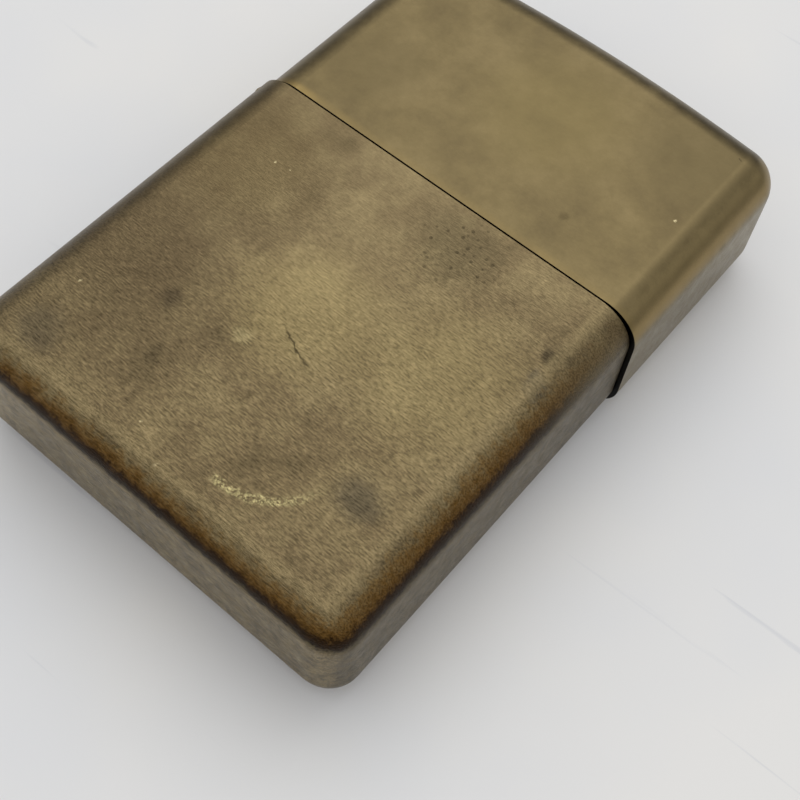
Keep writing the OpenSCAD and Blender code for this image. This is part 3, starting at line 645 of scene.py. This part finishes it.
def wick_route():
    """The wick's centre line, from its tip in the chimney through the folds in the packing, as
    points a step apart in millimetres, with the way each one heads."""
    (low, high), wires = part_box("wick"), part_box("wick_wires")
    drop, fold, radius, arc_steps = 3, 4, 1.6, 24
    x, tip = (wires[0].x + wires[1].x) / 2 / MM, high.y / MM
    left, right = low.x / MM + radius + fold, high.x / MM - radius - fold
    run = low.y / MM + radius + 4 * fold
    line = [(x, tip), (x, run + drop)]
    for cx, cy, r, a, b in (
            (x - drop, run + drop, drop, 0, -90),
            (left, run - fold, fold, 90, 270),
            (right, run - 3 * fold, fold, 90, -90)):
        for i in range(arc_steps + 1):
            turn = math.radians(a + (b - a) * i / arc_steps)
            line.append((cx + r * math.cos(turn), cy + r * math.sin(turn)))
    line.append((left, run - 4 * fold))
    points, left_over = [], 0.0
    for a, b in zip(line, line[1:]):
        a, b = Vector(a), Vector(b)
        step = b - a
        if step.length < 0.001:
            continue
        heading = step.normalized()
        gone = left_over
        while gone < step.length:
            points.append((a + heading * gone, heading))
            gone += WICK_STEP
        left_over = gone - step.length
    return points


def spline(curve, points):
    """Adds a line through points in millimetres to a curve in metres."""
    line = curve.splines.new("POLY")
    line.points.add(len(points) - 1)
    for place, p in zip(line.points, points):
        place.co = (p.x * MM, p.y * MM, p.z * MM, 1)


def braided_wick():
    """Eight strands that cross over and under each other round a core, loose at the burnt tip."""
    low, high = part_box("wick")
    level = (low.z + high.z) / 2 / MM
    route = wick_route()
    curve = bpy.data.curves.new("wick_strands", "CURVE")
    curve.dimensions = "3D"
    curve.bevel_depth = 0.4 * MM
    curve.bevel_resolution = 1
    curve.use_fill_caps = True
    strands, pitch, middle, sway = 8, 7.0, 1.0, 0.16
    tip_length, tip_spread = 1.2, 0.25
    for k in range(strands):
        way = 1 if k % 2 else -1
        points = []
        for i, (p, heading) in enumerate(route):
            run = i * WICK_STEP
            turn = way * 2 * math.pi * run / pitch + 2 * math.pi * k / strands
            out = middle + sway * way * math.cos(strands / 2 * turn)
            out += tip_spread * max(0, 1 - run / tip_length) * (1 + 0.5 * math.sin(5 * k))
            side = Vector((heading.y, -heading.x, 0))
            points.append(Vector((p.x, p.y, level)) + side * out * math.cos(turn)
                          + Vector((0, 0, 1)) * out * math.sin(turn))
        spline(curve, points)
    spline(curve, [Vector((p.x, p.y, level)) for p, _ in route[2:]])
    mesh = finished(bpy.data.objects.new("wick_strands", curve))
    mesh.name = "braided_wick"
    return piece("braided_wick", mesh, "case",
                 cotton("braided_cotton", "#d9d0b8", "#8d8268", charred_from=13.2), "wick")


def fluffed(node, name, voxel, inset, swell, size, material):
    """A soft stuffing made from a CAD solid: remeshed, drawn in by inset, and swollen unevenly by
    about swell, in lumps of a size."""
    bm = bmesh.new()
    bm.from_mesh(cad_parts[node].data)
    raw = mesh_of(bm, name + "_raw")
    holder = bpy.data.objects.new(name + "_raw", raw)
    remesh = holder.modifiers.new("remesh", "REMESH")
    remesh.mode = "VOXEL"
    remesh.voxel_size = voxel
    smooth = holder.modifiers.new("smooth", "SMOOTH")
    smooth.iterations = 6
    mesh = finished(holder)
    bpy.data.meshes.remove(raw)
    moves = [v.normal * (swell * noise.fractal(v.co / size, 1.0, 2.0, 3) - inset) for v in mesh.vertices]
    for v, move in zip(mesh.vertices, moves):
        v.co += move
    mesh.name = name
    made = piece(name, mesh, "case", material, node)
    return made


lay_floor()
light_studio()
place_camera()

# Hinge strip: yellower than the case, with dark patches of old oil.
HINGE_BRASS = plain_metal("worn_hinge_brass", ("#6d5c38", "#94804f"), (5, 5, 0.8), 0.36, "#3a2d1a", 0.6)
# Upset rivets: pale and smooth, with a few brown patches.
RIVET_STEEL = plain_metal("rivet_steel", ("#9b9a97", "#c4c2be"), (2, 2, 2), 0.28, "#5b4d3b", 0.4)
# Drawn steel sheet, brushed across: pale grey with fine lines along X.
BRUSHED_STEEL = plain_metal("brushed_steel", ("#96958f", "#c9c7c1"), (0.5, 7, 7), 0.26, "#6d6452", 0.35)
# Stamped steel: a shade darker and duller than the sheet.
STAMPED_STEEL = plain_metal("stamped_steel", ("#8d8b87", "#b4b1ab"), (4, 4, 1), 0.33, "#54483a", 0.4)
# Spring steel: darker and bluer than the sheet, and as shiny.
SPRING_STEEL = plain_metal("spring_steel", ("#77757a", "#a6a5a6"), (3, 3, 3), 0.26, "#3d3a3a", 0.3)
# Hardened steel: dark grey, with soot and flint dust in nearly black patches.
HARDENED_STEEL = plain_metal("hardened_steel", ("#3f3d3b", "#77736d"), (5, 5, 1), 0.34, "#1d1915", 0.6)
# Turned brass: bright yellow, with the tool's rings along its length.
TURNED_BRASS = plain_metal("turned_brass", ("#a38747", "#cdb06a"), (0.6, 8, 0.6), 0.24, "#6b5228", 0.3)
# Copper wire in the flame: red-brown, blackened in patches.
COPPER_WIRE = plain_metal("copper_wire", ("#8c5231", "#b97247"), (3, 1, 3), 0.35, "#2a1a12", 0.7)

for nodes, material in (
        (("case_can",), can_brass()),
        (("lid",), lid_brass()),
        (("hinge_leaf_can", "hinge_leaf_lid", "hinge_pin"), HINGE_BRASS),
        (("wheel_rivet", "cam_rivet"), RIVET_STEEL),
        (("insert_can",), BRUSHED_STEEL),
        (("chimney",), sooted_steel()),
        (("cam",), STAMPED_STEEL),
        (("cam_spring",), SPRING_STEEL),
        (("flint_tube", "flint_pusher", "spring_keeper", "flint_screw"), TURNED_BRASS),
        (("flint",), ferrocerium()),
        (("wick_wires",), COPPER_WIRE)):
    for node in nodes:
        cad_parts[node].material_slots[0].material = material

cut_wheel()
coiled_spring()
braided_wick()
fluffed("cotton_packing", "cotton_wads", voxel=0.35 * MM, inset=0.3 * MM, swell=0.35 * MM, size=1.6 * MM,
        material=cotton("cotton_wool", "#efece2", "#c9c3b2"))
fluffed("felt_pad", "felt_pad_fibres", voxel=0.3 * MM, inset=0.08 * MM, swell=0.08 * MM, size=0.5 * MM,
        material=cotton("wool_felt", "#cfc9b8", "#958d79"))
